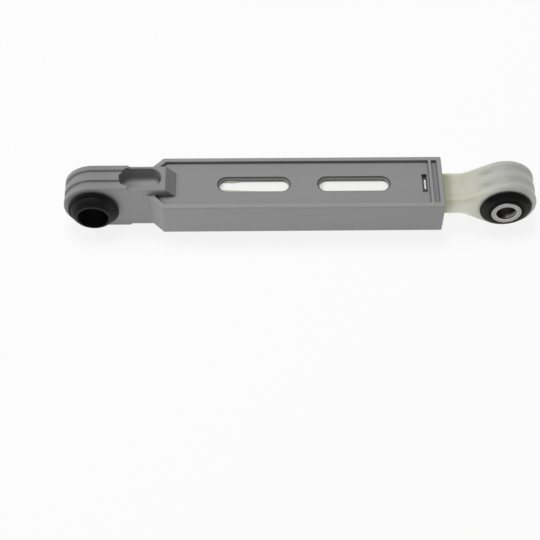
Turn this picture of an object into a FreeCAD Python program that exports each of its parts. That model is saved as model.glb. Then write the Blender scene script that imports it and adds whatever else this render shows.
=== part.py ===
import FreeCAD, Part
import math
import os
import Sketcher

# Friction damper of a washing machine: a moulded housing with an eye at one end, and a moulded rod
# with an eye that slides in it against two greased foam pads.
# Millimetres, origin at the centre of the housing's eye. +X runs along the damper to the rod's eye,
# Y along both eye bores, +Z out of the slotted face.

doc = FreeCAD.newDocument("damper")
V = FreeCAD.Vector
TOUCH = 0.01
QUARTER_TURN = math.pi / 2

# Driving dimensions: name, value in millimetres, meaning
SIZES = [
    ("housing_eye_radius", 12.5, "outside of the housing's eye"),
    ("lug_width", 12.6, "housing's eye and lug, along the bore"),
    ("eye_block_reach", 15.4, "eye centre to the step down to the lug"),
    ("lug_step", 0.9, "drop from the eye to the lug's flat"),
    ("lug_overlap", 0.9, "lug's flat past the start of the box"),
    ("ramp_run", 4.2, "length of the ramp from the lug's flat to the panel"),
    ("pocket_length", 17.6, "pocket in the lug's flat"),
    ("pocket_land", 1.7, "pocket's end to the ramp"),
    ("pocket_wall", 1.25, "lug wall beside the pocket"),
    ("pocket_depth", 6.0, "pocket below the lug's flat"),
    ("pocket_floor_round", 1.2, "hollow round the pocket's floor"),
    ("channel_offset", 2.65, "channel round the housing's eye, from the middle"),
    ("channel_width", 2.4, "channel round the housing's eye"),
    ("channel_depth", 0.9, "channel round the housing's eye"),
    ("body_start", 29.4, "start of the box's full width"),
    ("slant_length", 7.0, "slanted end of the box, along the damper"),
    ("body_length", 116.2, "full-width box up to its mouth"),
    ("body_width", 26.6, "outside of the box"),
    ("body_height", 16.7, "outside of the box"),
    ("edge_round", 0.7, "box's long edges"),
    ("corner_round", 0.6, "lug's edges"),
    ("mouth_round", 0.5, "outer edge of the box's mouth"),
    ("lug_blend", 3.0, "hollow between the lug's side and the box's slanted end"),
    ("side_wall", 2.8, "box's side wall"),
    ("panel_wall", 1.5, "box's slotted wall"),
    ("end_wall", 2.9, "wall that closes the box, past the start of its full width"),
    ("recess_depth", 1.3, "panel below its rim"),
    ("recess_round", 0.6, "corners of the panel and of the cross groove"),
    ("rim_width", 2.1, "rim along the panel"),
    ("end_rim", 2.8, "rim at the slanted end, along the damper"),
    ("slot_offset", 23.0, "start of the box to the first slot"),
    ("slot_length", 29.0, "long slot, inside its bevel"),
    ("slot_pitch", 41.6, "slot to slot"),
    ("slot_width", 6.2, "long slot, inside its bevel"),
    ("slot_bevel", 0.9, "bevel round the long slots"),
    ("end_flange", 1.9, "flange at the mouth"),
    ("groove_width", 2.45, "cross groove behind the flange"),
    ("rib_width", 1.15, "rib between groove and panel"),
    ("window_gap", 1.0, "rib to latch window"),
    ("window_width", 2.1, "latch window, along the damper"),
    ("window_length", 9.5, "latch window, across the damper"),
    ("pin_bore_radius", 6.5, "bore of the housing's bush, for its pin"),
    ("housing_bush_radius", 8.8, "housing's bush inside the eye"),
    ("housing_bush_flange", 10.55, "largest radius of the housing's bush"),
    ("housing_bush_edge", 1.75, "eye's face to the front of that flange"),
    ("housing_bush_bevel", 1.4, "eye's face to the flange's full width, behind which it tapers"),
    ("housing_bush_ring", 0.9, "flat ring between that edge and the curve"),
    ("housing_bush_reach", 11.8, "middle of the housing's bush to its lip"),
    ("housing_bush_dome", 5.0, "curve of the housing's bush between flange and lip"),
    ("lip_wall", 0.45, "bush wall at that lip"),
    ("keeper_radius", 10.3, "keeper on the far side of the housing's bush"),
    ("keeper_edge", 1.0, "thickness of the keeper's edge"),
    ("keeper_reach", 9.4, "middle of the housing's bush to the keeper's end"),
    ("keeper_wall", 0.7, "bush wall at the keeper's end"),
    ("rod_eye_radius", 13.0, "outside of the rod's eye"),
    ("rod_width", 15.2, "rod's eye, neck and bar, along the bore"),
    ("neck_end", 17.8, "rod eye centre to the end of the straight neck"),
    ("neck_blend", 7.0, "hollow where the neck widens"),
    ("rod_round", 1.6, "rod's long edges"),
    ("rod_pull", 26.4, "mouth to the rod's eye centre, as shown"),
    ("tip_gap", 17.2, "closed end of the box to the rod's inner tip, as shown"),
    ("head_length", 21.0, "guide head at the inner tip"),
    ("head_lead", 2.0, "lead-in chamfer of the head"),
    ("wing_height", 4.4, "thickness of the head's wings"),
    ("rail_edge", 1.2, "bar's side to the head's rails"),
    ("rail_throat", 2.3, "half gap between the rails at its narrowest"),
    ("rail_mouth", 4.4, "half gap between the rails at the bar"),
    ("rail_flare", 3.3, "half gap between the rails at the tip"),
    ("throat_offset", 8.0, "inner tip to the narrowest place between the rails"),
    ("rod_groove_offset", 3.1, "groove round the rod's eye, from the middle"),
    ("rod_groove_width", 4.2, "groove round the rod's eye"),
    ("rod_groove_depth", 0.6, "groove round the rod's eye"),
    ("groove_fade_radius", 40.0, "curve in which that groove runs out"),
    ("groove_fade_angle", 14.0, "turn of that curve, in degrees"),
    ("rod_bush_radius", 9.6, "rod's bush inside the eye"),
    ("rod_bush_flange", 10.8, "largest radius of the rod's bush"),
    ("rod_bush_edge", 0.7, "thickness of that flange's edge"),
    ("rod_bush_bevel", 0.6, "bevel of that flange towards the eye"),
    ("rod_bush_reach", 10.3, "half length of the rod's bush"),
    ("rod_bush_dome", 6.5, "curve of the rod's bush between flange and collar"),
    ("collar_wall", 0.7, "bush wall round the sleeve's ends"),
    ("collar_height", 0.35, "collar above the curve"),
    ("sleeve_radius", 6.25, "outside of the steel sleeve"),
    ("sleeve_bore_radius", 4.2, "bore of the steel sleeve, for its bolt"),
    ("sleeve_length", 21.8, "steel sleeve"),
    ("sleeve_chamfer", 0.15, "sleeve's edges"),
    ("guide_setback", 1.0, "mouth to the guide's face"),
    ("guide_length", 18.0, "guide, along the damper"),
    ("guide_end_wall", 2.0, "guide's walls before and behind the pads"),
    ("guide_wall", 0.5, "guide's walls above and below the bar"),
    ("latch_height", 0.6, "latch above the guide's flat"),
    ("latch_length", 0.9, "latch, along the damper"),
    ("latch_lead", 0.4, "slope of the latch"),
    ("latch_clearance", 0.5, "latch in its window, towards the mouth"),
    ("latch_end_clearance", 2.3, "latch in its window, across the damper"),
    ("pad_height", 7.6, "foam pad, across the damper"),
    ("slide_clearance", 0.2, "guide head in the box"),
    ("guide_clearance", 0.15, "bar in the guide"),
    ("pad_clearance", 0.1, "foam pad to the bar"),
    ("seat_clearance", 0.05, "pieces that are pressed or clipped in place"),
]

sheet = doc.addObject("Spreadsheet::Sheet", "sizes")
for row, (alias, number, meaning) in enumerate(SIZES, start=1):
    sheet.set(f"A{row}", meaning)
    sheet.set(f"B{row}", str(number))
    sheet.setAlias(f"B{row}", alias)
doc.recompute()

# Places that several pieces share, as expressions of the sheet's cells
MOUTH = "(sizes.body_start + sizes.body_length)"
LUG_HALF_HEIGHT = "(sizes.housing_eye_radius - sizes.lug_step)"
LUG_END = "(sizes.body_start + sizes.lug_overlap)"
PANEL_LEVEL = "(sizes.body_height / 2 - sizes.recess_depth)"
PANEL_HALF_WIDTH = "(sizes.body_width / 2 - sizes.rim_width)"
RECESS_END = f"({MOUTH} - sizes.end_flange - sizes.groove_width - sizes.rib_width)"
WINDOW_END = f"({RECESS_END} - sizes.window_gap)"
CAVITY_START = "(sizes.body_start + sizes.end_wall)"
CAVITY_HALF_WIDTH = "(sizes.body_width / 2 - sizes.side_wall)"
CAVITY_HALF_HEIGHT = f"({PANEL_LEVEL} - sizes.panel_wall)"
GUIDE_HALF_HEIGHT = f"({CAVITY_HALF_HEIGHT} - sizes.seat_clearance)"
BAR_WAY_HALF_HEIGHT = f"({GUIDE_HALF_HEIGHT} - sizes.guide_wall)"
ROD_HALF_HEIGHT = f"({BAR_WAY_HALF_HEIGHT} - sizes.guide_clearance)"
ROD_EYE = f"({MOUTH} + sizes.rod_pull)"
ROD_REACH = f"({ROD_EYE} - {CAVITY_START} - sizes.tip_gap)"


def datum(body, role):
    return next(feature for feature in body.Origin.OriginFeatures if feature.Role == role)


def new_body(label, along=None):
    body = doc.addObject("PartDesign::Body", label)
    body.Label = label
    if along:
        body.setExpression("Placement.Base.x", along)
    return body


def new_sketch(body, role, name, offset=None):
    sketch = body.newObject("Sketcher::SketchObject", name)
    sketch.AttachmentSupport = (datum(body, role), [""])
    sketch.MapMode = "FlatFace"
    if offset:
        sketch.setExpression("AttachmentOffset.Base.z", offset)
    return sketch


def value(expression):
    return float(sheet.evalExpression(expression))


def bind(sketch, constraint, expression):
    index = sketch.addConstraint(constraint)
    sketch.setExpression(f"Constraints[{index}]", expression)


def pin_point(sketch, curve, point, across, up):
    """Holds a point of a curve at two distances from the sketch's origin."""
    bind(sketch, Sketcher.Constraint("DistanceX", -1, 1, curve, point, value(across)), across)
    bind(sketch, Sketcher.Constraint("DistanceY", -1, 1, curve, point, value(up)), up)


def arc(centre, radius, start, end):
    """Arc about a point, counter-clockwise from one angle to the other."""
    return Part.ArcOfCircle(Part.Circle(centre, V(0, 0, 1), radius), start, end)


def bulging_arc(start, end, radius):
    """Arc that bulges to the left of the way from start to end, drawn from end to start."""
    chord = end - start
    half = chord.Length / 2
    right = V(chord.y, -chord.x, 0).normalize()
    centre = start + chord / 2 + right * (radius * radius - half * half) ** 0.5
    angles = [math.atan2(point.y - centre.y, point.x - centre.x) for point in (end, start)]
    if angles[1] < angles[0]:
        angles[1] += 4 * QUARTER_TURN
    return arc(centre, radius, *angles)


def outline(sketch, corners, bulges=None):
    """Adds a closed outline, each corner a pair of expressions.

    A run is straight, or an arc that bulges to the left if bulges gives a radius for its number.
    """
    bulges = bulges or {}
    first = sketch.GeometryCount
    places = [V(value(across), value(up), 0) for across, up in corners]
    ends = places[1:] + places[:1]
    for number, (start, end) in enumerate(zip(places, ends)):
        if number in bulges:
            sketch.addGeometry(bulging_arc(start, end, value(bulges[number])), False)
        else:
            sketch.addGeometry(Part.LineSegment(start, end), False)
    for number, (across, up) in enumerate(corners):
        following = (number + 1) % len(corners)
        start_point = 2 if number in bulges else 1
        end_point = 3 - start_point
        next_start_point = 2 if following in bulges else 1
        sketch.addConstraint(Sketcher.Constraint(
            "Coincident", first + number, end_point, first + following, next_start_point))
        pin_point(sketch, first + number, start_point, across, up)
    for number, radius in bulges.items():
        bind(sketch, Sketcher.Constraint("Radius", first + number, value(radius)), radius)


def mirrored_outline(sketch, upper, bulges=None):
    """Closes an outline whose upper half is given, alike above and below the sketch's first axis."""
    lower = [(across, f"-({up})") for across, up in reversed(upper)]
    both = dict(bulges or {})
    last = 2 * len(upper) - 2
    both.update({last - number: radius for number, radius in (bulges or {}).items()})
    outline(sketch, upper + lower, both)


def circle(sketch, radius):
    """Adds a circle about the sketch's origin."""
    curve = sketch.addGeometry(Part.Circle(V(0, 0, 0), V(0, 0, 1), value(radius)), False)
    sketch.addConstraint(Sketcher.Constraint("Coincident", curve, 3, -1, 1))
    bind(sketch, Sketcher.Constraint("Radius", curve, value(radius)), radius)


def obround(sketch, start, end, half_width):
    """Adds a slot with round ends along the sketch's first axis."""
    half = value(half_width)
    left = value(start) + half
    right = value(end) - half
    first = sketch.GeometryCount
    sketch.addGeometry(arc(V(left, 0, 0), half, QUARTER_TURN, 3 * QUARTER_TURN), False)
    sketch.addGeometry(Part.LineSegment(V(left, -half, 0), V(right, -half, 0)), False)
    sketch.addGeometry(arc(V(right, 0, 0), half, -QUARTER_TURN, QUARTER_TURN), False)
    sketch.addGeometry(Part.LineSegment(V(right, half, 0), V(left, half, 0)), False)
    for number in range(4):
        following = first + (number + 1) % 4
        sketch.addConstraint(Sketcher.Constraint("Tangent", first + number, 2, following, 1))
    sketch.addConstraint(Sketcher.Constraint("Equal", first, first + 2))
    pin_point(sketch, first, 3, f"{start} + {half_width}", "0")
    pin_point(sketch, first + 2, 3, f"{end} - ({half_width})", "0")
    bind(sketch, Sketcher.Constraint("Radius", first, half), half_width)


def pad(body, sketch, name, length, symmetric=True):
    feature = body.newObject("PartDesign::Pad", name)
    feature.Profile = sketch
    feature.SideType = "Symmetric" if symmetric else "One side"
    feature.setExpression("Length", length)
    doc.recompute()
    return feature


def pocket(body, sketch, name, length=None, above=None):
    """Cuts a length down from the sketch, or right through both sides if none is given.

    A length above the sketch is cut as well where one is given.
    """
    before = body.Shape.Volume
    feature = body.newObject("PartDesign::Pocket", name)
    feature.Profile = sketch
    if above:
        feature.SideType = "Two sides"
        feature.setExpression("Length2", above)
    else:
        feature.SideType = "One side" if length else "Symmetric"
    if length:
        feature.setExpression("Length", length)
    else:
        feature.Type = "ThroughAll"
    doc.recompute()
    if body.Shape.Volume >= before:
        raise RuntimeError(f"{name} cuts nothing")
    return feature


def mirror(body, originals, name, role):
    feature = body.newObject("PartDesign::Mirrored", name)
    feature.Originals = originals
    feature.MirrorPlane = (datum(body, role), [""])
    body.Tip = feature
    doc.recompute()
    return feature


def sweep_out(body, section, path, name):
    """Cuts a section swept along a path of three curves, and its twin past the bore's middle."""
    feature = body.newObject("PartDesign::SubtractivePipe", name)
    feature.Profile = section
    feature.Spine = (path, ["Edge1", "Edge2", "Edge3"])
    doc.recompute()
    return mirror(body, [feature], f"{name}s", "XZ_Plane")


def edge_names(feature, wanted):
    numbered = enumerate(feature.Shape.Edges, start=1)
    return [f"Edge{number}" for number, edge in numbered if wanted(edge)]


def round_edges(body, name, radius, wanted):
    """Rounds the edges of the body so far that the given test picks out."""
    base = body.Tip
    feature = body.newObject("PartDesign::Fillet", name)
    feature.Base = (base, edge_names(base, wanted))
    feature.setExpression("Radius", radius)
    doc.recompute()
    return feature


def bevel_edges(body, name, size, wanted):
    """Bevels the edges of the body so far that the given test picks out."""
    base = body.Tip
    feature = body.newObject("PartDesign::Chamfer", name)
    feature.Base = (base, edge_names(base, wanted))
    feature.setExpression("Size", size)
    doc.recompute()
    return feature


def near(one, other):
    return abs(one - other) < TOUCH


def runs_along(edge, axis):
    """Whether an edge is a straight run along one of the three axes."""
    box = edge.BoundBox
    lengths = {"x": box.XLength, "y": box.YLength, "z": box.ZLength}
    return all(near(length, 0) == (name != axis) for name, length in lengths.items())


def make_housing():
    body = new_body("housing")

    # Box with a slanted end towards the lug
    plan = new_sketch(body, "XY_Plane", "housing_plan")
    mirrored_outline(plan, [
        ("sizes.body_start - sizes.slant_length", "sizes.lug_width / 2"),
        ("sizes.body_start", "sizes.body_width / 2"),
        (MOUTH, "sizes.body_width / 2"),
    ])
    pad(body, plan, "housing_box", "sizes.body_height")
    half_width = sheet.body_width / 2
    half_height = sheet.body_height / 2
    mouth = value(MOUTH)
    round_edges(body, "housing_edges", "sizes.edge_round", lambda edge: (
        runs_along(edge, "x") and near(abs(edge.CenterOfMass.z), half_height)
        or runs_along(edge, "z") and near(abs(edge.CenterOfMass.y), half_width)
        and not near(edge.CenterOfMass.x, mouth)))
    round_edges(body, "mouth_edges", "sizes.mouth_round", lambda edge: (
        near(edge.BoundBox.XMin, mouth) and near(edge.BoundBox.XMax, mouth)))

    # Sunk panels on both faces, their corners cut alike to the box's end
    slope = "sizes.slant_length / (sizes.body_width / 2 - sizes.lug_width / 2)"
    recess_start = "(sizes.body_start - sizes.slant_length + sizes.end_rim)"
    panel = new_sketch(body, "XY_Plane", "panel_outline", "sizes.body_height / 2")
    mirrored_outline(panel, [
        (recess_start, "sizes.lug_width / 2"),
        (f"{recess_start} + {slope} * ({PANEL_HALF_WIDTH} - sizes.lug_width / 2)", PANEL_HALF_WIDTH),
        (RECESS_END, PANEL_HALF_WIDTH),
    ])
    recess = pocket(body, panel, "panel_recess", "sizes.recess_depth")
    mirror(body, [recess], "panel_recesses", "XY_Plane")

    # Cross grooves behind the mouth's flange
    cross = new_sketch(body, "XY_Plane", "groove_outline", "sizes.body_height / 2")
    mirrored_outline(cross, [
        (f"{MOUTH} - sizes.end_flange - sizes.groove_width", PANEL_HALF_WIDTH),
        (f"{MOUTH} - sizes.end_flange", PANEL_HALF_WIDTH),
    ])
    groove = pocket(body, cross, "cross_groove", "sizes.recess_depth")
    mirror(body, [groove], "cross_grooves", "XY_Plane")
    panel_half_width = value(PANEL_HALF_WIDTH)
    round_edges(body, "recess_corners", "sizes.recess_round", lambda edge: (
        runs_along(edge, "z") and near(abs(edge.CenterOfMass.y), panel_half_width)))

    # Lug with ramps down to the panels, and the eye's block
    side = new_sketch(body, "XZ_Plane", "lug_profile")
    mirrored_outline(side, [
        ("0", LUG_HALF_HEIGHT),
        (LUG_END, LUG_HALF_HEIGHT),
        (f"{LUG_END} + sizes.ramp_run", PANEL_LEVEL),
    ])
    pad(body, side, "lug", "sizes.lug_width")
    block = new_sketch(body, "XZ_Plane", "eye_block_profile")
    mirrored_outline(block, [
        ("0", "sizes.housing_eye_radius"),
        ("sizes.eye_block_reach - sizes.lug_step", "sizes.housing_eye_radius"),
        ("sizes.eye_block_reach", LUG_HALF_HEIGHT),
    ])
    pad(body, block, "eye_block", "sizes.lug_width")
    ring = new_sketch(body, "XZ_Plane", "eye_profile")
    circle(ring, "sizes.housing_eye_radius")
    pad(body, ring, "eye", "sizes.lug_width")
    half_lug = sheet.lug_width / 2
    slant_start = sheet.body_start - sheet.slant_length
    round_edges(body, "lug_blends", "sizes.lug_blend", lambda edge: (
        runs_along(edge, "z") and near(abs(edge.CenterOfMass.y), half_lug)
        and near(edge.CenterOfMass.x, slant_start)))

    panel_level = value(PANEL_LEVEL)
    round_edges(body, "lug_edges", "sizes.corner_round", lambda edge: (
        near(abs(edge.CenterOfMass.y), half_lug) and near(edge.BoundBox.YLength, 0)
        and (edge.CenterOfMass.x < 0 or abs(edge.CenterOfMass.z) > panel_level + sheet.corner_round)))

    # Pockets in the lug's flats
    well = new_sketch(body, "XY_Plane", "pocket_outline", LUG_HALF_HEIGHT)
    pocket_end = f"({LUG_END} - sizes.pocket_land)"
    pocket_half = "(sizes.lug_width / 2 - sizes.pocket_wall)"
    obround(well, f"{pocket_end} - sizes.pocket_length", pocket_end, pocket_half)
    lug_pocket = pocket(body, well, "lug_pocket", "sizes.pocket_depth", above="sizes.lug_step")
    mirror(body, [lug_pocket], "lug_pockets", "XY_Plane")
    pocket_floor = value(f"{LUG_HALF_HEIGHT} - sizes.pocket_depth")
    round_edges(body, "pocket_floors", "sizes.pocket_floor_round", lambda edge: (
        near(abs(edge.CenterOfMass.z), pocket_floor) and near(edge.BoundBox.ZLength, 0)))

    # Channels round the eye, open into the pockets
    path = new_sketch(body, "XZ_Plane", "channel_path")
    radius = "sizes.housing_eye_radius"
    straight = f"{pocket_end} - sizes.pocket_length + {pocket_half}"
    reach = value(straight)
    bend = value(radius)
    path.addGeometry(Part.LineSegment(V(reach, bend, 0), V(0, bend, 0)), False)
    path.addGeometry(arc(V(0, 0, 0), bend, QUARTER_TURN, 3 * QUARTER_TURN), False)
    path.addGeometry(Part.LineSegment(V(0, -bend, 0), V(reach, -bend, 0)), False)
    path.addConstraint(Sketcher.Constraint("Tangent", 0, 2, 1, 1))
    path.addConstraint(Sketcher.Constraint("Tangent", 1, 2, 2, 1))
    path.addConstraint(Sketcher.Constraint("Coincident", 1, 3, -1, 1))
    pin_point(path, 0, 1, straight, radius)
    pin_point(path, 2, 2, straight, f"-{radius}")
    section = new_sketch(body, "YZ_Plane", "channel_section", straight)
    brim = f"{radius} + sizes.channel_depth"
    floor = f"{radius} - sizes.channel_depth"
    half_brim = "(sizes.channel_width / 2 + sizes.channel_depth / 2)"
    half_floor = "(sizes.channel_width / 2 - sizes.channel_depth / 2)"
    outline(section, [
        (f"sizes.channel_offset - {half_brim}", brim),
        (f"sizes.channel_offset - {half_floor}", floor),
        (f"sizes.channel_offset + {half_floor}", floor),
        (f"sizes.channel_offset + {half_brim}", brim),
    ])
    sweep_out(body, section, path, "channel")

    # Hollow of the box, its bevelled slots, its latch windows, and the eye's bore
    hollow = new_sketch(body, "YZ_Plane", "cavity_outline", MOUTH)
    mirrored_outline(hollow, [
        (f"-{CAVITY_HALF_WIDTH}", CAVITY_HALF_HEIGHT),
        (CAVITY_HALF_WIDTH, CAVITY_HALF_HEIGHT),
    ])
    pocket(body, hollow, "cavity", f"{MOUTH} - {CAVITY_START}")
    long_slot = new_sketch(body, "XY_Plane", "slot_outline")
    slot_start = "(sizes.body_start + sizes.slot_offset)"
    obround(long_slot, slot_start, f"({slot_start} + sizes.slot_length)", "(sizes.slot_width / 2)")
    slot = pocket(body, long_slot, "slot")
    slots = body.newObject("PartDesign::LinearPattern", "slots")
    slots.Originals = [slot]
    slots.Direction = (datum(body, "X_Axis"), [""])
    slots.Occurrences = 2
    slots.setExpression("Length", "sizes.slot_pitch")
    body.Tip = slots
    doc.recompute()
    first_slot = value(slot_start)
    half_slot = sheet.slot_width / 2
    bevel_edges(body, "slot_bevels", "sizes.slot_bevel", lambda edge: (
        near(abs(edge.CenterOfMass.z), panel_level) and edge.BoundBox.XMin > first_slot - TOUCH
        and edge.BoundBox.YMax < half_slot + TOUCH and edge.BoundBox.YMin > -half_slot - TOUCH))
    window = new_sketch(body, "XY_Plane", "window_outline")
    mirrored_outline(window, [
        (f"{WINDOW_END} - sizes.window_width", "sizes.window_length / 2"),
        (WINDOW_END, "sizes.window_length / 2"),
    ])
    pocket(body, window, "latch_window")
    bore = new_sketch(body, "XZ_Plane", "bore_outline")
    circle(bore, "sizes.housing_bush_radius + sizes.seat_clearance")
    pocket(body, bore, "bush_bore")
    return body


def turn_about_bore(body, section, name):
    """Turns a section about the bore, the sketch's second axis."""
    turned = body.newObject("PartDesign::Revolution", name)
    turned.Profile = section
    turned.ReferenceAxis = (section, ["V_Axis"])
    turned.Angle = 360
    doc.recompute()
    return turned


def make_housing_bush():
    """Rubber bush for a plug-in pin: a waist in the eye, a flange on the front that domes out to a
    thin lip, and a low keeper on the back.
    """
    body = new_body("housing_bush")
    seat = "(sizes.lug_width / 2 + sizes.seat_clearance)"
    section = new_sketch(body, "XY_Plane", "housing_bush_section")
    dome = 8
    outline(section, [
        ("sizes.pin_bore_radius", "sizes.keeper_reach"),
        ("sizes.pin_bore_radius + sizes.keeper_wall", "sizes.keeper_reach"),
        ("sizes.keeper_radius", f"{seat} + sizes.keeper_edge"),
        ("sizes.keeper_radius", seat),
        ("sizes.housing_bush_radius", seat),
        ("sizes.housing_bush_radius", f"-{seat}"),
        ("sizes.housing_bush_flange", f"-{seat} - sizes.housing_bush_bevel"),
        ("sizes.housing_bush_flange", f"-{seat} - sizes.housing_bush_edge"),
        ("sizes.housing_bush_flange - sizes.housing_bush_ring", f"-{seat} - sizes.housing_bush_edge"),
        ("sizes.pin_bore_radius + sizes.lip_wall", "-sizes.housing_bush_reach"),
        ("sizes.pin_bore_radius", "-sizes.housing_bush_reach"),
    ], {dome: "sizes.housing_bush_dome"})
    turn_about_bore(body, section, "housing_bush_turn")
    return body


def make_rod_bush():
    """Rubber bush round the steel sleeve: a waist in the eye, domed flanges, and end collars."""
    body = new_body("rod_bush", ROD_EYE)
    seat = "(sizes.rod_width / 2 + sizes.seat_clearance)"
    bore = "(sizes.sleeve_radius + sizes.seat_clearance)"
    section = new_sketch(body, "XY_Plane", "rod_bush_section")
    dome = 2
    mirrored_outline(section, [
        (bore, "sizes.rod_bush_reach"),
        (f"{bore} + sizes.collar_wall", "sizes.rod_bush_reach"),
        (f"{bore} + sizes.collar_wall", "sizes.rod_bush_reach - sizes.collar_height"),
        ("sizes.rod_bush_flange", f"{seat} + sizes.rod_bush_edge"),
        ("sizes.rod_bush_flange", f"{seat} + sizes.rod_bush_bevel"),
        ("sizes.rod_bush_flange - sizes.rod_bush_bevel", seat),
        ("sizes.rod_bush_radius", seat),
    ], {dome: "sizes.rod_bush_dome"})
    turn_about_bore(body, section, "rod_bush_turn")
    return body


def make_rod_sleeve():
    body = new_body("rod_sleeve", ROD_EYE)
    ring = new_sketch(body, "XZ_Plane", "sleeve_outline")
    circle(ring, "sizes.sleeve_radius")
    circle(ring, "sizes.sleeve_bore_radius")
    pad(body, ring, "sleeve_tube", "sizes.sleeve_length")
    bevel_edges(body, "sleeve_bevels", "sizes.sleeve_chamfer", lambda edge: len(edge.Vertexes) == 1)
    return body


def make_rod():
    body = new_body("rod", ROD_EYE)

    # Bar and neck, widening in straight tangents to the eye
    reach = f"sqrt(sizes.neck_end ^ 2 + {ROD_HALF_HEIGHT} ^ 2)"
    rise = f"(asin(sizes.rod_eye_radius / {reach}) - atan({ROD_HALF_HEIGHT} / sizes.neck_end))"
    touch = (f"-sizes.rod_eye_radius * sin({rise})", f"sizes.rod_eye_radius * cos({rise})")
    side = new_sketch(body, "XZ_Plane", "rod_profile")
    mirrored_outline(side, [
        (f"-{ROD_REACH}", ROD_HALF_HEIGHT),
        ("-sizes.neck_end", ROD_HALF_HEIGHT),
        touch,
    ])
    pad(body, side, "bar", "sizes.rod_width")
    ring = new_sketch(body, "XZ_Plane", "rod_eye_profile")
    circle(ring, "sizes.rod_eye_radius")
    pad(body, ring, "rod_eye", "sizes.rod_width")
    round_edges(body, "neck_blends", "sizes.neck_blend", lambda edge: (
        runs_along(edge, "y") and near(edge.CenterOfMass.x, -sheet.neck_end)))
    tip = -value(ROD_REACH)
    half_width = sheet.rod_width / 2
    round_edges(body, "rod_edges", "sizes.rod_round", lambda edge: (
        near(abs(edge.BoundBox.YMin), half_width) and near(edge.BoundBox.YLength, 0)
        and not near(edge.CenterOfMass.x, tip)))

    # Soft grooves round the eye, which run out along the neck's widening
    path = new_sketch(body, "XZ_Plane", "rod_groove_path")
    radius = sheet.rod_eye_radius
    fade = sheet.groove_fade_radius
    stretch = "(1 + sizes.groove_fade_radius / sizes.rod_eye_radius)"
    centre = V(value(f"({touch[0]}) * {stretch}"), value(f"({touch[1]}) * {stretch}"), 0)
    mirrored_centre = V(centre.x, -centre.y, 0)
    turn = math.radians(sheet.groove_fade_angle)
    lean = math.asin(-value(touch[0]) / radius)
    meet = lean - QUARTER_TURN
    path.addGeometry(arc(centre, fade, meet - turn, meet), False)
    path.addGeometry(arc(V(0, 0, 0), radius, meet - 2 * lean, 2 * lean - meet), False)
    path.addGeometry(arc(mirrored_centre, fade, -meet, turn - meet), False)
    path.addConstraint(Sketcher.Constraint("Coincident", 1, 3, -1, 1))
    path.addConstraint(Sketcher.Constraint("Tangent", 0, 2, 1, 2))
    path.addConstraint(Sketcher.Constraint("Tangent", 1, 1, 2, 1))
    bind(path, Sketcher.Constraint("Radius", 1, radius), "sizes.rod_eye_radius")
    bind(path, Sketcher.Constraint("DistanceX", -1, 1, 1, 2, value(touch[0])), touch[0])
    bind(path, Sketcher.Constraint("DistanceX", -1, 1, 1, 1, value(touch[0])), touch[0])
    fade_end = (f"({touch[0]}) * {stretch}"
                f" + sizes.groove_fade_radius * cos({rise} - 90 deg - sizes.groove_fade_angle * 1 deg)")
    for curve, point in ((0, 1), (2, 2)):
        bind(path, Sketcher.Constraint("Radius", curve, fade), "sizes.groove_fade_radius")
        bind(path, Sketcher.Constraint("DistanceX", -1, 1, curve, point, value(fade_end)), fade_end)
    section = new_sketch(body, "YZ_Plane", "rod_groove_section")
    near_side = "sizes.rod_groove_offset - sizes.rod_groove_width / 2"
    far_side = "sizes.rod_groove_offset + sizes.rod_groove_width / 2"
    brim = "sizes.rod_eye_radius + sizes.rod_groove_depth"
    half_width_squared = "sizes.rod_groove_width ^ 2 / 4"
    depth = "sizes.rod_groove_depth"
    bottom = 1
    outline(section, [
        (far_side, brim),
        (far_side, "sizes.rod_eye_radius"),
        (near_side, "sizes.rod_eye_radius"),
        (near_side, brim),
    ], {bottom: f"({half_width_squared} + {depth} ^ 2) / (2 * {depth})"})
    sweep_out(body, section, path, "rod_groove")

    # Bore for the bush
    bore = new_sketch(body, "XZ_Plane", "rod_bore_outline")
    circle(bore, "sizes.rod_bush_radius + sizes.seat_clearance")
    pocket(body, bore, "rod_bore")

    # Guide head at the inner tip: flat wings, and rails above and below with a waisted gap between
    tip_end = f"-{ROD_REACH}"
    head_end = f"{tip_end} + sizes.head_length"
    wing = f"({CAVITY_HALF_WIDTH} - sizes.slide_clearance)"
    wings = new_sketch(body, "XY_Plane", "wing_outline")
    mirrored_outline(wings, [
        (tip_end, f"{wing} - sizes.head_lead"),
        (f"{tip_end} + sizes.head_lead", wing),
        (head_end, wing),
    ])
    pad(body, wings, "wings", "sizes.wing_height")
    rails = new_sketch(body, "XY_Plane", "rail_outlines")
    rail_side = "sizes.rod_width / 2 - sizes.rail_edge"
    rail = [
        (tip_end, rail_side),
        (tip_end, "sizes.rail_flare"),
        (f"{tip_end} + sizes.throat_offset", "sizes.rail_throat"),
        (head_end, "sizes.rail_mouth"),
        (head_end, rail_side),
    ]
    outline(rails, rail)
    outline(rails, [(across, f"-({up})") for across, up in rail])
    pad(body, rails, "rails", f"2 * ({CAVITY_HALF_HEIGHT} - sizes.slide_clearance)")
    return body


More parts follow.
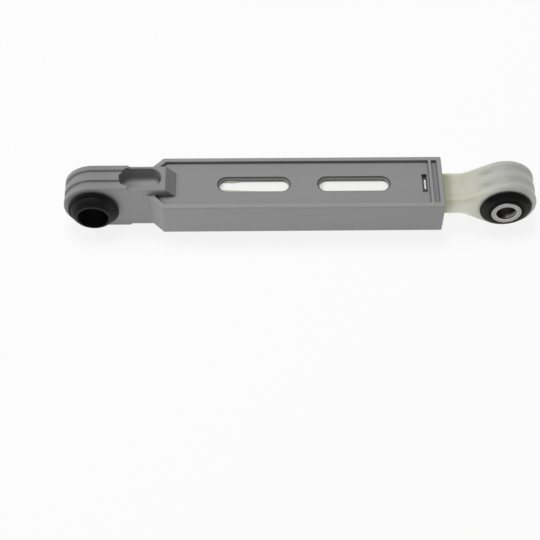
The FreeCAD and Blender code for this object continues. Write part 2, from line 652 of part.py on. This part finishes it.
def make_rod_guide():
    """Frame clipped into the mouth: it guides the bar, and has a bay for a pad on each side."""
    body = new_body("rod_guide", MOUTH)
    half_width = f"({CAVITY_HALF_WIDTH} - sizes.seat_clearance)"
    frame = new_sketch(body, "YZ_Plane", "guide_outline", "-sizes.guide_setback - sizes.guide_length")
    mirrored_outline(frame, [(f"-{half_width}", GUIDE_HALF_HEIGHT), (half_width, GUIDE_HALF_HEIGHT)])
    pad(body, frame, "guide_block", "sizes.guide_length", symmetric=False)

    way = new_sketch(body, "YZ_Plane", "bar_way_outline")
    bar_half_width = "(sizes.rod_width / 2 + sizes.guide_clearance)"
    mirrored_outline(way, [
        (f"-{bar_half_width}", BAR_WAY_HALF_HEIGHT),
        (bar_half_width, BAR_WAY_HALF_HEIGHT),
    ])
    pocket(body, way, "bar_way")

    bay = new_sketch(body, "XZ_Plane", "bay_outline")
    bay_half_height = "sizes.pad_height / 2 + sizes.seat_clearance"
    mirrored_outline(bay, [
        ("-sizes.guide_setback - sizes.guide_length + sizes.guide_end_wall", bay_half_height),
        ("-sizes.guide_setback - sizes.guide_end_wall", bay_half_height),
    ])
    pocket(body, bay, "pad_bays")

    # Latches that spring into the housing's windows, sloped on the side that goes in first
    hook = new_sketch(body, "XZ_Plane", "latch_profile")
    latch_end = f"({WINDOW_END} - {MOUTH} - sizes.latch_clearance)"
    latch_top = f"({GUIDE_HALF_HEIGHT} + sizes.latch_height)"
    outline(hook, [
        (f"{latch_end} - sizes.latch_length", GUIDE_HALF_HEIGHT),
        (latch_end, GUIDE_HALF_HEIGHT),
        (latch_end, latch_top),
        (f"{latch_end} - sizes.latch_length + sizes.latch_lead", latch_top),
    ])
    latch = pad(body, hook, "latch", "sizes.window_length - 2 * sizes.latch_end_clearance")
    mirror(body, [latch], "latches", "XY_Plane")
    return body


def make_friction_pad(label, side):
    """Foam pad between the bar and the box's wall, on one side (1 or -1) along the bore."""
    body = new_body(label, MOUTH)
    inner = f"{side} * (sizes.rod_width / 2 + sizes.pad_clearance)"
    outer = f"{side} * ({CAVITY_HALF_WIDTH} - sizes.seat_clearance)"
    start = "-sizes.guide_setback - sizes.guide_length + sizes.guide_end_wall + sizes.seat_clearance"
    end = "-sizes.guide_setback - sizes.guide_end_wall - sizes.seat_clearance"
    plan = new_sketch(body, "XY_Plane", f"{label}_plan")
    outline(plan, [(start, inner), (end, inner), (end, outer), (start, outer)])
    pad(body, plan, f"{label}_foam", "sizes.pad_height")
    return body


def make_friction_pad_front():
    return make_friction_pad("friction_pad_front", -1)


def make_friction_pad_back():
    return make_friction_pad("friction_pad_back", 1)


PIECES = [
    make_housing,
    make_housing_bush,
    make_rod_guide,
    make_friction_pad_front,
    make_friction_pad_back,
    make_rod,
    make_rod_bush,
    make_rod_sleeve,
]

bodies = [make() for make in PIECES]
doc.recompute()

for item in doc.Objects:
    if "Invalid" in item.State or "Error" in item.State:
        raise RuntimeError(f"{item.Name} is not built: {item.State}")
for body in bodies:
    if body.Shape.isNull() or not body.Shape.isValid():
        raise RuntimeError(f"{body.Label} has no sound shape")

os.makedirs("parts", exist_ok=True)
for body in bodies:
    body.Shape.exportStep(f"parts/{body.Label}.step")
    print(body.Label, len(body.Shape.Solids), round(body.Shape.Volume, 1))
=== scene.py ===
import math

import bpy
from mathutils import Matrix, Vector

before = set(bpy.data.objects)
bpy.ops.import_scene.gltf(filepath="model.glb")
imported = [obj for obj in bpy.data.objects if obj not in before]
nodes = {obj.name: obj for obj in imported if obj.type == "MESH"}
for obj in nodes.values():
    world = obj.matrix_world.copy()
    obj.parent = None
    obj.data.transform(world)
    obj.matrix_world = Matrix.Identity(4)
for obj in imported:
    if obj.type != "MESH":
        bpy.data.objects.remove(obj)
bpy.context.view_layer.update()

MM = 0.001

# Places on the part, and the directions along which a distance from one is measured
HOUSING_EYE = (0, 0, 0)
ROD_EYE = (172 * MM, 0, 0)
SLEEVE_SHADOW_MIDDLE = (172.3 * MM, 0, -0.8 * MM)
VENT = (8.17 * MM, -10.28 * MM, 3.14 * MM)
MIDDLE = (85 * MM, 0, 0)
LENGTHWISE = (1, 0, 0)
OFF_BORE_AXIS = (1, 0, 1)
ALL_WAYS = (1, 1, 1)

# The floor gives light of its own, from the first level to the second over its span along the part
FLOOR_LEVEL = -13.0 * MM
FLOOR_HALF = 3.0
TABLE_LIGHT = (0.92, 0.56)
TABLE_SPAN = (-60 * MM, 200 * MM)
SHADOW_FADE = 0.85
ROOM_LIGHT = 0.28

# Place and power of each softbox
SOFTBOXES = {
    "key": ((-0.05, 0.33, 1.45), 10.3),
    "left": ((-1.15, 0.25, 1.15), 8.1),
}
SOFTBOX_SIDE = 0.5

# The photograph's camera, found by fitting the object's measured points
CAMERA_PLACE = Vector((65.93, -355.44, 459.34)) * MM
CAMERA_YAW = math.radians(-1.289)
CAMERA_PITCH = math.radians(55.396)
CAMERA_ROLL = math.radians(0.637)
CAMERA_LENS = 91.96
CAMERA_SENSOR = 36.0
CAMERA_NEAR = 0.01
CAMERA_FAR = 20.0


class Shader:
    """A material or world whose node tree is built up from its surface's own coordinates."""

    def __init__(self, name, library=bpy.data.materials):
        self.owner = library.new(name)
        self.owner.use_nodes = True
        self.tree = self.owner.node_tree
        self.tree.nodes.clear()
        self.place = self.add("ShaderNodeTexCoord").outputs["Object"]

    def add(self, kind, inputs=None, **settings):
        node = self.tree.nodes.new(kind)
        for key, setting in settings.items():
            setattr(node, key, setting)
        for key, given in (inputs or {}).items():
            if isinstance(given, bpy.types.NodeSocket):
                self.tree.links.new(given, node.inputs[key])
            else:
                node.inputs[key].default_value = given
        return node

    def noise(self, size, detail, stretch=(1, 1, 1)):
        """Cloudy noise from 0 to 1 with features of about the given size in metres."""
        place = self.add("ShaderNodeMapping", {"Vector": self.place, "Scale": stretch}).outputs[0]
        inputs = {"Vector": place, "Scale": 1 / size, "Detail": detail, "Roughness": 0.5}
        return self.add("ShaderNodeTexNoise", inputs).outputs["Fac"]

    def axis(self, name):
        return self.add("ShaderNodeSeparateXYZ", {0: self.place}).outputs[name]

    def off_middle(self, name):
        """Distance along an axis from the middle of the bore, to either side."""
        return self.math("ABSOLUTE", self.axis(name))

    def math(self, operation, *given):
        return self.add("ShaderNodeMath", dict(enumerate(given)), operation=operation).outputs[0]

    def product(self, first, *others):
        for other in others:
            first = self.math("MULTIPLY", first, other)
        return first

    def plus(self, first, other, times):
        """Sum of one value and a multiple of another."""
        return self.math("ADD", first, self.math("MULTIPLY", other, times))

    def span(self, source, low, high, start, end, kind="LINEAR"):
        """Maps a stretch of a value to another, held at both ends."""
        inputs = {"Value": source, "From Min": low, "From Max": high, "To Min": start, "To Max": end}
        node = self.add("ShaderNodeMapRange", inputs, clamp=True, interpolation_type=kind)
        return node.outputs["Result"]

    def rise(self, source, none, full, most=1.0):
        """Share that goes evenly from 0 at one value to its most at another."""
        return self.span(source, none, full, 0.0, most)

    def ease(self, source, none, full, most=1.0):
        """Share that goes softly from 0 at one value to its most at another."""
        return self.span(source, none, full, 0.0, most, kind="SMOOTHSTEP")

    def inside(self, name, low, high, fade=0.1 * MM):
        """Share that is 1 between two places along an axis, and 0 outside."""
        along = self.axis(name)
        start = self.rise(along, low - fade, low + fade)
        end = self.rise(along, high + fade, high - fade)
        return self.product(start, end)

    def outside(self, share, rest):
        """Share that is 1 where the given one is 0, and only the given rest where it is 1."""
        return self.span(share, 0.0, 1.0, 1.0, rest)

    def blend(self, share, one, other):
        mix = self.add("ShaderNodeMix", {"Factor": share, 6: one, 7: other}, data_type="RGBA")
        return mix.outputs[2]

    def distance(self, point, directions):
        """Distance from a point, measured only along the given directions."""
        away = self.add("ShaderNodeVectorMath", {0: self.place, 1: point}, operation="SUBTRACT").outputs[0]
        flat = self.add("ShaderNodeVectorMath", {0: away, 1: directions}, operation="MULTIPLY").outputs[0]
        return self.add("ShaderNodeVectorMath", {0: flat}, operation="LENGTH").outputs["Value"]

    def openness(self, reach):
        """Share of the surroundings within the given reach that is free: low in corners and gaps."""
        return self.add("ShaderNodeAmbientOcclusion", {"Distance": reach}, samples=8).outputs["AO"]

    def rounded(self, radius):
        """Normal that runs softly over sharp edges."""
        return self.add("ShaderNodeBevel", {"Radius": radius}, samples=6).outputs[0]

    def edges(self, normal, most):
        """Share from 0 on the flats to its most on sharp edges."""
        flat = self.add("ShaderNodeNewGeometry").outputs["Normal"]
        dot = self.add("ShaderNodeVectorMath", {0: normal, 1: flat}, operation="DOT_PRODUCT")
        return self.rise(dot.outputs["Value"], 1.0, 0.75, most)

    def bump(self, height, depth, normal=None):
        inputs = {"Height": height, "Distance": depth, "Strength": 1.0}
        if normal:
            inputs["Normal"] = normal
        return self.add("ShaderNodeBump", inputs).outputs[0]

    def seen(self):
        """Share that is 1 where the surface is seen, straight or in gloss or glass, and 0 where it lights."""
        rays = self.add("ShaderNodeLightPath").outputs
        share = self.math("MAXIMUM", rays["Is Camera Ray"], rays["Is Glossy Ray"])
        return self.math("MAXIMUM", share, rays["Is Transmission Ray"])

    def finish(self, **inputs):
        named = {key.replace("_", " "): given for key, given in inputs.items()}
        surface = self.add("ShaderNodeBsdfPrincipled", named)
        self.add("ShaderNodeOutputMaterial", {"Surface": surface.outputs[0]})
        return self.owner


def housing_plastic():
    """Grey moulded plastic with a fine eroded texture and faint flow marks, with painted shade at the eye, on
    the ramps, in corners and gaps, on the slots' lips, at one end of the pockets, in the crevices by the lug
    and on the lug's sides, and painted highlights on rims and edges and painted light in the pockets.
    """
    shader = Shader("housing_plastic")
    dim = (0.244, 0.244, 0.249, 1)
    bright = (0.266, 0.266, 0.272, 1)
    flow_mark = (0.286, 0.286, 0.290, 1)
    grain_pit = (0.180, 0.182, 0.185, 1)
    eye_painted_shade = (0.175, 0.175, 0.179, 1)
    rim_painted_highlight = (0.33, 0.33, 0.33, 1)
    edge_painted_highlight = (0.34, 0.34, 0.34, 1)
    ramp_painted_shade = (0.105, 0.106, 0.109, 1)
    slot_lip_painted_shade = (0.035, 0.035, 0.037, 1)
    pocket_painted_light = (0.37, 0.37, 0.376, 1)
    pocket_foot_painted_shade = (0.060, 0.060, 0.062, 1)
    corner_painted_shade = (0.075, 0.075, 0.078, 1)
    crevice_painted_shadow = (0.010, 0.010, 0.011, 1)
    lug_side_painted_shade = (0.030, 0.030, 0.031, 1)
    soft = shader.rounded(0.35 * MM)
    cloud = shader.noise(14 * MM, 4.0)
    flow = shader.noise(5 * MM, 3.0, stretch=(0.25, 1, 1))
    grain = shader.noise(0.28 * MM, 2.0)
    along = shader.axis("X")
    across = shader.off_middle("Y")
    level = shader.off_middle("Z")

    colour = shader.blend(cloud, dim, bright)
    colour = shader.blend(shader.rise(flow, 0.35, 0.75, most=0.25), colour, flow_mark)
    colour = shader.blend(shader.rise(grain, 0.55, 0.8, most=0.18), colour, grain_pit)
    # Painted shade: the colour darkens towards the eye.
    colour = shader.blend(shader.ease(along, 16 * MM, 4 * MM, most=0.35), colour, eye_painted_shade)
    # Painted highlight: paler on the tops of the rims.
    rim = shader.product(
        shader.rise(level, 7.7 * MM, 8.2 * MM),
        shader.rise(level, 9.2 * MM, 8.7 * MM),
        shader.rise(along, 22 * MM, 24 * MM, most=0.5))
    colour = shader.blend(rim, colour, rim_painted_highlight)
    # Painted highlight: paler along sharp edges.
    colour = shader.blend(shader.edges(soft, most=0.3), colour, edge_painted_highlight)
    # Painted shade: darker on the ramps.
    ramp = shader.product(
        shader.inside("X", 30.2 * MM, 34.6 * MM),
        shader.inside("Y", -6.4 * MM, 6.4 * MM),
        shader.rise(level, 7.1 * MM, 7.2 * MM, most=0.34))
    colour = shader.blend(ramp, colour, ramp_painted_shade)

    slots = shader.product(
        shader.inside("X", 51 * MM, 125 * MM),
        shader.inside("Y", -4.3 * MM, 4.3 * MM))
    # Painted shade: a dark band on the slots' lips.
    lip = shader.product(
        slots,
        shader.rise(level, 7.04 * MM, 6.9 * MM),
        shader.rise(level, 6.4 * MM, 6.65 * MM, most=0.92))
    colour = shader.blend(lip, colour, slot_lip_painted_shade)
    beside_ramp = shader.product(
        shader.inside("X", 29.5 * MM, 37.0 * MM),
        shader.inside("Y", -9.5 * MM, 9.5 * MM))
    in_pocket = shader.product(
        shader.inside("Y", -5.15 * MM, 5.15 * MM),
        shader.rise(level, 5.3 * MM, 5.5 * MM))
    # Painted light: paler in the far half of the lug's pockets.
    pocket = shader.product(
        in_pocket,
        shader.rise(along, 12.5 * MM, 17.0 * MM),
        shader.rise(along, 28.8 * MM, 26.5 * MM),
        shader.rise(shader.axis("Y"), -1.0 * MM, 1.8 * MM),
        shader.rise(level, 11.5 * MM, 11.4 * MM))
    colour = shader.blend(shader.product(pocket, 0.5), colour, pocket_painted_light)
    # Painted shade: darker at the foot of one end of the pockets.
    pocket_foot = shader.product(
        in_pocket,
        shader.rise(along, 26.2 * MM, 27.3 * MM, most=0.7),
        shader.rise(along, 28.9 * MM, 28.7 * MM),
        shader.rise(level, 9.0 * MM, 7.0 * MM))
    colour = shader.blend(pocket_foot, colour, pocket_foot_painted_shade)
    # Painted shade: darker in corners and gaps, less so in the slots, beside the ramps and in the pockets.
    corner = shader.product(
        shader.rise(shader.openness(1.2 * MM), 0.9, 0.5, most=0.75),
        shader.outside(slots, rest=0.15),
        shader.outside(beside_ramp, rest=0.1),
        shader.outside(pocket, rest=0.2))
    colour = shader.blend(corner, colour, corner_painted_shade)

    # Painted shadow: a dark line in the crevice between the lug and the slanted rims.
    past_slanted_rim = shader.math("SUBTRACT", along, across)
    crevice = shader.product(
        shader.rise(past_slanted_rim, 18.9 * MM, 19.1 * MM),
        shader.rise(past_slanted_rim, 21.4 * MM, 20.4 * MM),
        shader.rise(across, 10.4 * MM, 6.4 * MM, most=0.95),
        shader.rise(across, 6.1 * MM, 6.2 * MM),
        shader.rise(level, 6.9 * MM, 7.0 * MM),
        shader.rise(level, 7.2 * MM, 7.1 * MM))
    colour = shader.blend(crevice, colour, crevice_painted_shadow)
    # Painted shade: darker on the lug's sides beside the slanted rims.
    lug_side = shader.product(
        shader.rise(across, 6.1 * MM, 6.2 * MM),
        shader.rise(across, 6.6 * MM, 6.5 * MM),
        shader.ease(along, 22.0 * MM, 26.0 * MM),
        shader.rise(along, 35.0 * MM, 34.8 * MM),
        shader.rise(level, 11.2 * MM, 10.0 * MM, most=0.35),
        shader.rise(level, 7.1 * MM, 7.2 * MM))
    colour = shader.blend(lug_side, colour, lug_side_painted_shade)

    roughness = shader.span(shader.plus(cloud, grain, times=0.4), 0.4, 1.0, 0.44, 0.6)
    normal = shader.bump(shader.plus(grain, flow, times=1.5), 0.03 * MM, soft)
    return shader.finish(Base_Color=colour, Roughness=roughness, Normal=normal, Specular_IOR_Level=0.27)


def rod_plastic():
    """Natural nylon: waxy and a little see-through, yellowed at the neck, with painted light on the neck's
    sides, a yellow tint and painted shade by the housing's mouth, painted shade in the grooves, and white
    grease on the bar.
    """
    shader = Shader("rod_plastic")
    neck = (0.590, 0.595, 0.505, 1)
    eye = (0.450, 0.455, 0.422, 1)
    side_painted_light = (0.78, 0.785, 0.70, 1)
    mouth = (0.328, 0.343, 0.188, 1)
    yellow = (0.430, 0.450, 0.290, 1)
    milky = (0.555, 0.56, 0.51, 1)
    groove_painted_shade = (0.300, 0.315, 0.290, 1)
    white = (0.97, 0.97, 0.96, 1)
    cloud = shader.noise(9 * MM, 4.0)
    flow = shader.noise(3 * MM, 3.0, stretch=(0.2, 1, 1))
    grain = shader.noise(0.4 * MM, 2.0)
    along = shader.axis("X")
    across = shader.off_middle("Y")
    level = shader.off_middle("Z")
    on_eye = shader.rise(along, 156 * MM, 162 * MM)
    soft = shader.blend(on_eye, shader.rounded(2.5 * MM), shader.rounded(0.9 * MM))

    colour = shader.blend(shader.ease(along, 152 * MM, 172 * MM), neck, eye)
    # Painted light: paler along the neck's sides and edges.
    side = shader.ease(across, 5.2 * MM, 6.8 * MM)
    side_light_share = shader.product(side, shader.rise(along, 168 * MM, 156 * MM, most=0.72))
    colour = shader.blend(side_light_share, colour, side_painted_light)
    # Yellow tint and painted shade in a ragged band round the housing's mouth.
    drift = shader.plus(along, shader.noise(4 * MM, 3.0), times=2.5 * MM)
    band = shader.product(
        shader.ease(drift, 152.5 * MM, 147.0 * MM, most=0.8),
        shader.ease(drift, 134.0 * MM, 146.0 * MM),
        shader.outside(side, rest=0.7))
    colour = shader.blend(band, colour, mouth)
    stain = shader.product(
        shader.rise(cloud, 0.40, 0.65),
        shader.rise(along, 166 * MM, 156 * MM, most=0.45))
    colour = shader.blend(stain, colour, yellow)
    colour = shader.blend(shader.rise(flow, 0.45, 0.7, most=0.3), colour, milky)

    # Painted shade: darker in the eye's grooves, most at their starts.
    groove_start = shader.inside("X", 161.0 * MM, 166.0 * MM, fade=2.0 * MM)
    groove_run = shader.rise(along, 160 * MM, 166 * MM, most=0.35)
    groove = shader.product(
        shader.math("MAXIMUM", groove_start, groove_run),
        shader.ease(across, 1.0 * MM, 2.8 * MM),
        shader.ease(across, 5.2 * MM, 3.4 * MM, most=0.5))
    colour = shader.blend(groove, colour, groove_painted_shade)

    # The grease is wiped off in two long wedges at the head's far and near edges
    ragged = shader.plus(along, shader.noise(6 * MM, 3.0), times=3 * MM)
    far_wedge = shader.span(along, 55 * MM, 92 * MM, 2.9 * MM, 0.0)
    near_wedge = shader.span(along, 56 * MM, 123 * MM, 4.1 * MM, 0.0)
    grease = shader.product(
        shader.ease(ragged, 140 * MM, 132 * MM),
        shader.rise(shader.math("ADD", shader.axis("Y"), far_wedge), 5.6 * MM, 5.2 * MM),
        shader.rise(shader.math("SUBTRACT", shader.axis("Y"), near_wedge), -5.6 * MM, -5.2 * MM),
        shader.rise(level, 4.2 * MM, 4.7 * MM),
        shader.rise(level, 5.2 * MM, 5.0 * MM))
    colour = shader.blend(grease, colour, white)

    depth = shader.span(grease, 0.0, 0.5, 0.6, 0.0)
    roughness = shader.span(cloud, 0.3, 0.8, 0.36, 0.52)
    normal = shader.bump(shader.plus(grain, flow, times=2.0), 0.02 * MM, soft)
    return shader.finish(
        Base_Color=colour, Roughness=roughness, Normal=normal, Specular_IOR_Level=0.35,
        Subsurface_Weight=depth, Subsurface_Radius=(1.0, 1.0, 0.8), Subsurface_Scale=2.5 * MM)


def rubber():
    """Black moulded rubber with a painted sheen on its flanks and painted highlights on its edges and on the
    housing bush's lip, painted shade round the sleeve and at the top and bottom of the rod bush's flange rim,
    and the housing bush's vent pit, painted dark inside with a painted highlight round it.
    """
    shader = Shader("bush_rubber")
    deep = (0.002, 0.002, 0.002, 1)
    dusty = (0.005, 0.005, 0.005, 1)
    flank_painted_sheen = (0.024, 0.024, 0.025, 1)
    rubber_edge_painted_highlight = (0.020, 0.020, 0.021, 1)
    lip_painted_highlight = (0.035, 0.035, 0.036, 1)
    gap_painted_shadow = (0.0005, 0.0005, 0.0005, 1)
    vent_painted_highlight = (0.040, 0.040, 0.041, 1)
    vent_painted_shade = (0.001, 0.001, 0.001, 1)
    soft = shader.rounded(0.25 * MM)
    cloud = shader.noise(4 * MM, 4.0)
    grain = shader.noise(0.22 * MM, 2.0)

    colour = shader.blend(cloud, deep, dusty)
    from_bore = shader.math(
        "MINIMUM", shader.distance(HOUSING_EYE, LENGTHWISE), shader.distance(ROD_EYE, LENGTHWISE))
    # Painted sheen: paler on the flanks to either side of the bores.
    colour = shader.blend(shader.ease(from_bore, 4.0 * MM, 9.0 * MM, most=0.7), colour, flank_painted_sheen)
    # Painted highlight: paler along sharp edges.
    colour = shader.blend(shader.edges(soft, most=0.6), colour, rubber_edge_painted_highlight)
    # Painted highlight: a paler ring on the housing bush's lip.
    lip = shader.product(
        shader.rise(shader.axis("Y"), -11.5 * MM, -11.7 * MM),
        shader.rise(shader.distance(HOUSING_EYE, OFF_BORE_AXIS), 7.6 * MM, 7.3 * MM, most=0.7))
    colour = shader.blend(lip, colour, lip_painted_highlight)
    # Painted shadow: black round the sleeve, reaching further below it than above.
    sleeve_shadow = shader.rise(shader.distance(SLEEVE_SHADOW_MIDDLE, OFF_BORE_AXIS), 7.7 * MM, 7.3 * MM)
    colour = shader.blend(sleeve_shadow, colour, gap_painted_shadow)
    # Painted shade: black at the top and bottom of the rod bush's flange rim.
    radius = shader.distance(ROD_EYE, OFF_BORE_AXIS)
    bush_rim_shade = shader.product(
        shader.rise(radius, 8.7 * MM, 9.2 * MM),
        shader.rise(radius, 12 * MM, 11 * MM),
        shader.ease(shader.off_middle("Z"), 3.0 * MM, 6.5 * MM))
    colour = shader.blend(bush_rim_shade, colour, gap_painted_shadow)
    # Painted highlight round the vent pit, and painted shade in it.
    from_vent = shader.distance(VENT, ALL_WAYS)
    colour = shader.blend(shader.ease(from_vent, 1.5 * MM, 0.9 * MM, most=0.7), colour, vent_painted_highlight)
    pit = shader.ease(from_vent, 0.85 * MM, 0.5 * MM)
    colour = shader.blend(pit, colour, vent_painted_shade)

    roughness = shader.span(cloud, 0.3, 0.7, 0.48, 0.62)
    normal = shader.bump(shader.math("SUBTRACT", 1.0, pit), 0.3 * MM, soft)
    normal = shader.bump(shader.plus(grain, cloud, times=2.0), 0.03 * MM, normal)
    return shader.finish(Base_Color=colour, Roughness=roughness, Normal=normal, Specular_IOR_Level=0.09)


def plated_steel():
    """Turned steel tube with a zinc finish: rings on its ends and an uneven coat, with painted shade deep in
    the bore, painted light towards its mouths, and a brighter, rougher painted patch of light low at one side
    of them.
    """
    shader = Shader("sleeve_steel")
    dim_zinc = (0.30, 0.295, 0.292, 1)
    bright_zinc = (0.38, 0.375, 0.37, 1)
    bore_painted_shade = (0.25, 0.24, 0.23, 1)
    bore_mouth_painted_light = (0.62, 0.61, 0.59, 1)
    bore_painted_light_patch = (0.80, 0.79, 0.77, 1)
    ring_width = 0.16 * MM
    soft = shader.rounded(0.15 * MM)
    cloud = shader.noise(2.5 * MM, 4.0)
    radius = shader.distance(ROD_EYE, OFF_BORE_AXIS)
    rings = {"W": shader.math("MULTIPLY", radius, 1 / ring_width), "Scale": 1.0, "Detail": 2.0}
    turned = shader.add("ShaderNodeTexNoise", rings, noise_dimensions="1D").outputs["Fac"]
    depth = shader.off_middle("Y")

    colour = shader.blend(cloud, dim_zinc, bright_zinc)
    # Painted shade deep in the bore, and painted light towards its mouths.
    bore = shader.rise(radius, 4.5 * MM, 4.3 * MM)
    mouth = shader.rise(depth, 8.4 * MM, 10.4 * MM)
    colour = shader.blend(bore, colour, shader.blend(mouth, bore_painted_shade, bore_mouth_painted_light))
    # Painted light: a bright, rougher patch low on one side of the bore's mouths.
    lit_patch_share = shader.product(
        bore,
        shader.ease(shader.axis("X"), 171.4 * MM, 173.2 * MM),
        shader.rise(shader.axis("Z"), -0.4 * MM, -1.2 * MM),
        shader.rise(depth, 8.0 * MM, 9.2 * MM),
        shader.rise(depth, 10.5 * MM, 9.9 * MM))
    colour = shader.blend(lit_patch_share, colour, bore_painted_light_patch)

    roughness = shader.span(shader.math("ADD", cloud, turned), 0.6, 1.4, 0.26, 0.44)
    roughness = shader.plus(roughness, lit_patch_share, times=0.36)
    normal = shader.bump(turned, 0.012 * MM, soft)
    return shader.finish(Base_Color=colour, Metallic=1.0, Roughness=roughness, Normal=normal)


def guide_plastic():
    """Moulded plastic of the guide: white on the latches, with painted shade on the frame behind them."""
    shader = Shader("guide_plastic")
    dim = (0.88, 0.88, 0.86, 1)
    bright = (0.95, 0.95, 0.94, 1)
    overlay_tone = (0.03, 0.03, 0.03, 1)
    soft = shader.rounded(0.2 * MM)
    cloud = shader.noise(3 * MM, 3.0)
    grain = shader.noise(0.3 * MM, 2.0)
    colour = shader.blend(cloud, dim, bright)
    # Painted shade: dark on the frame below the latches' tops.
    colour = shader.blend(shader.rise(shader.off_middle("Z"), 5.75 * MM, 5.6 * MM), colour, overlay_tone)
    roughness = shader.span(cloud, 0.3, 0.7, 0.35, 0.5)
    normal = shader.bump(grain, 0.02 * MM, soft)
    return shader.finish(Base_Color=colour, Roughness=roughness, Normal=normal)


def pad_foam():
    """Open-pored foam soaked with grease."""
    shader = Shader("pad_foam")
    pore_brown = (0.24, 0.20, 0.13, 1)
    wall_brown = (0.60, 0.54, 0.42, 1)
    overlay_tone = (0.70, 0.66, 0.55, 1)
    pore_size = 0.7 * MM
    cells = {"Vector": shader.place, "Scale": 1 / pore_size}
    pores = shader.add("ShaderNodeTexVoronoi", cells).outputs["Distance"]
    cloud = shader.noise(2 * MM, 3.0)
    colour = shader.blend(pores, pore_brown, wall_brown)
    colour = shader.blend(shader.rise(cloud, 0.4, 0.7, most=0.3), colour, overlay_tone)
    roughness = shader.span(cloud, 0.3, 0.7, 0.45, 0.8)
    normal = shader.bump(pores, 0.3 * MM)
    return shader.finish(Base_Color=colour, Roughness=roughness, Normal=normal)


def dress(look, *names):
    for name in names:
        materials = nodes[name].data.materials
        materials.clear()
        materials.append(look)


def add_floor():
    """White light table: it lights the object's sides from below, less so to the right, keeps the
    object's shadow, and is seen as white in the open.
    """
    mesh = bpy.data.meshes.new("floor")
    corners = [(-1, -1), (1, -1), (1, 1), (-1, 1)]
    places = [(x * FLOOR_HALF, y * FLOOR_HALF, FLOOR_LEVEL) for x, y in corners]
    mesh.from_pydata(places, [], [(0, 1, 2, 3)])
    floor = bpy.data.objects.new("floor", mesh)
    bpy.context.collection.objects.link(floor)
    shader = Shader("floor_white")
    tint = shader.blend(shader.noise(0.6 * MM, 3.0), (0.88, 0.88, 0.88, 1), (0.92, 0.92, 0.92, 1))
    level = shader.span(shader.axis("X"), *TABLE_SPAN, *TABLE_LIGHT)
    paper = shader.add("ShaderNodeBsdfDiffuse", {"Color": tint}).outputs[0]
    glow = shader.add("ShaderNodeEmission", {"Strength": level}).outputs[0]
    white = shader.add("ShaderNodeEmission", {"Strength": 1.0}).outputs[0]
    table = shader.add("ShaderNodeAddShader", {0: paper, 1: glow}).outputs[0]
    backdrop = shader.add("ShaderNodeMixShader", {0: SHADOW_FADE, 1: paper, 2: white}).outputs[0]
    surface = shader.add("ShaderNodeMixShader", {0: shader.seen(), 1: table, 2: backdrop}).outputs[0]
    shader.add("ShaderNodeOutputMaterial", {"Surface": surface})
    mesh.materials.append(shader.owner)


def add_world():
    """Even room light, seen as white."""
    shader = Shader("room", bpy.data.worlds)
    level = shader.span(shader.seen(), 0.0, 1.0, ROOM_LIGHT, 1.0)
    background = shader.add("ShaderNodeBackground", {"Color": (1, 1, 1, 1), "Strength": level})
    shader.add("ShaderNodeOutputWorld", {"Surface": background.outputs[0]})
    bpy.context.scene.world = shader.owner


def add_softbox(name, place, power):
    """Square lamp that faces the middle of the part."""
    light = bpy.data.lights.new(name, "AREA")
    light.shape = "SQUARE"
    light.size = SOFTBOX_SIDE
    light.energy = power
    lamp = bpy.data.objects.new(name, light)
    lamp.location = place
    lamp.rotation_euler = (Vector(MIDDLE) - Vector(place)).to_track_quat("-Z", "Y").to_euler()
    bpy.context.collection.objects.link(lamp)


def add_camera():
    """Camera at the photograph's angle."""
    flat = math.cos(CAMERA_PITCH)
    back = Vector((math.sin(CAMERA_YAW) * flat, -math.cos(CAMERA_YAW) * flat, math.sin(CAMERA_PITCH)))
    right = (-back).cross(Vector((0, 0, 1))).normalized()
    up = right.cross(-back)
    turned_right = math.cos(CAMERA_ROLL) * right + math.sin(CAMERA_ROLL) * up
    turned_up = -math.sin(CAMERA_ROLL) * right + math.cos(CAMERA_ROLL) * up
    data = bpy.data.cameras.new("camera")
    data.sensor_width = CAMERA_SENSOR
    data.lens = CAMERA_LENS
    data.clip_start = CAMERA_NEAR
    data.clip_end = CAMERA_FAR
    camera = bpy.data.objects.new("camera", data)
    pose = Matrix((turned_right, turned_up, back)).transposed().to_4x4()
    pose.translation = CAMERA_PLACE
    camera.matrix_world = pose
    bpy.context.collection.objects.link(camera)
    bpy.context.scene.camera = camera


dress(housing_plastic(), "housing")
dress(rod_plastic(), "rod")
dress(guide_plastic(), "rod_guide")
dress(plated_steel(), "rod_sleeve")
dress(rubber(), "housing_bush", "rod_bush")
dress(pad_foam(), "friction_pad_front", "friction_pad_back")

add_floor()
add_world()
for name, (place, power) in SOFTBOXES.items():
    add_softbox(name, place, power)
add_camera()
bpy.context.scene.view_settings.view_transform = "Standard"
